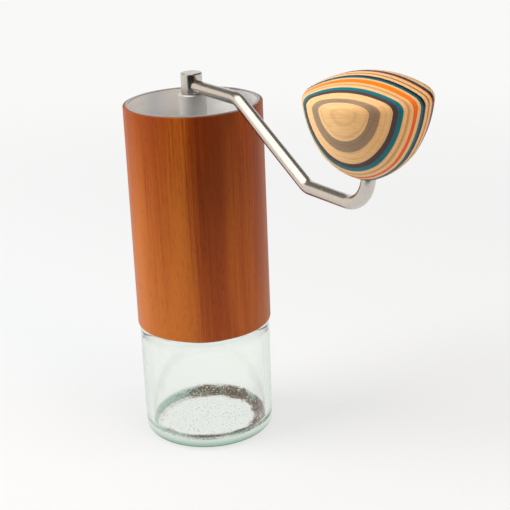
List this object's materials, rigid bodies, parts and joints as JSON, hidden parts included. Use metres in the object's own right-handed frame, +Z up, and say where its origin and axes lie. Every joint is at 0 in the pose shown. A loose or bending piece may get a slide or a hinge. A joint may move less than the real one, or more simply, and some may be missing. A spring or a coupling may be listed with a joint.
{
  "type": "hand crank coffee grinder",
  "caption": "Hand-held coffee grinder: wood-sleeved steel tube with open hopper, screw-on glass catch jar, and a bent crank rod with a turned laminated wood knob.",
  "frame": {"origin": "centre of the jar's flat base, on the floor, on the shaft's axis", "axes": "+Z up the shaft's axis, +X along the crank at rest, towards the knob"},
  "size_m": [0.1714, 0.06, 0.1826],
  "materials": {
    "clear_glass": "clear, smooth",
    "seal_rubber": "soft matte",
    "satin_steel": "satin",
    "sleeve_wood": "satin lacquered veneer",
    "dark_plastic": "moulded, fine texture",
    "frame_plastic": "moulded, fine texture",
    "burr_steel": "ground, hardened",
    "screw_steel": "plain",
    "bearing_steel": "ground",
    "shaft_steel": "turned, satin",
    "dial_plastic": "moulded, knurled",
    "polished_steel": "polished stainless",
    "knob_wood": "oiled laminated plies",
    "bush_brass": "plain"
  },
  "bodies": {
    "jar": {"glass_jar": "clear_glass"},
    "seal": {"jar_seal": "seal_rubber"},
    "body": {"steel_tube": "satin_steel", "wood_sleeve": "sleeve_wood", "jar_collar": "dark_plastic", "burr_carrier": "dark_plastic", "ring_burr": "burr_steel", "burr_retainer": "satin_steel", "retainer_screws": "screw_steel", "hopper_funnel": "satin_steel", "bearing_frame": "frame_plastic", "frame_screws": "screw_steel", "upper_bearing_outer": "bearing_steel", "lower_bearing_outer": "bearing_steel"},
    "shaft": {"drive_shaft": "shaft_steel", "upper_bearing_inner": "bearing_steel", "lower_bearing_inner": "bearing_steel", "shaft_clip": "screw_steel", "spring_washer": "screw_steel", "burr_spring": "screw_steel"},
    "upper_balls": {"upper_ball_set": "bearing_steel"},
    "lower_balls": {"lower_ball_set": "bearing_steel"},
    "burr": {"cone_burr": "burr_steel", "click_plate": "screw_steel"},
    "dial": {"setting_dial": "dial_plastic"},
    "crank": {"crank_hub": "polished_steel", "crank_rod": "polished_steel", "knob_clip": "screw_steel"},
    "knob": {"wood_knob": "knob_wood", "knob_bush": "bush_brass"}
  },
  "joints": [
    {"name": "body_rise", "type": "slide", "parent": "jar", "child": "seal", "axis": [0, 0, 1], "range_m": [0, 0.00501]},
    {"name": "body_unscrew", "type": "hinge", "parent": "seal", "child": "body", "pos_m": [0, 0, 0.06], "axis": [0, 0, 1], "range_deg": [0, 450]},
    {"name": "shaft_spin", "type": "hinge", "parent": "body", "child": "shaft", "pos_m": [0, 0, 0.117], "axis": [0, 0, 1], "continuous": true},
    {"name": "upper_ball_roll", "type": "hinge", "parent": "body", "child": "upper_balls", "pos_m": [0, 0, 0.1265], "axis": [0, 0, 1], "continuous": true},
    {"name": "lower_ball_roll", "type": "hinge", "parent": "body", "child": "lower_balls", "pos_m": [0, 0, 0.108], "axis": [0, 0, 1], "continuous": true},
    {"name": "burr_travel", "type": "slide", "parent": "shaft", "child": "burr", "axis": [0, 0, 1], "range_m": [0, 0.00144], "deforming": ["burr_spring"]},
    {"name": "dial_turn", "type": "hinge", "parent": "burr", "child": "dial", "pos_m": [0, 0, 0.066], "axis": [0, 0, 1], "range_deg": [0, 1441]},
    {"name": "crank_lift", "type": "slide", "parent": "shaft", "child": "crank", "axis": [0, 0, 1], "range_m": [0, 0.03]},
    {"name": "knob_spin", "type": "hinge", "parent": "crank", "child": "knob", "pos_m": [0.1183, 0, 0.16], "axis": [0, 0, 1], "continuous": true}
  ],
  "couplings": [
    {"joint": "body_rise", "follows": "body_unscrew", "m_per_rad": 0.00063662},
    {"joint": "dial_turn", "follows": "burr_travel", "rad_per_m": 17453},
    {"joint": "upper_ball_roll", "follows": "shaft_spin", "ratio": 0.41793},
    {"joint": "lower_ball_roll", "follows": "shaft_spin", "ratio": 0.41793}
  ]
}
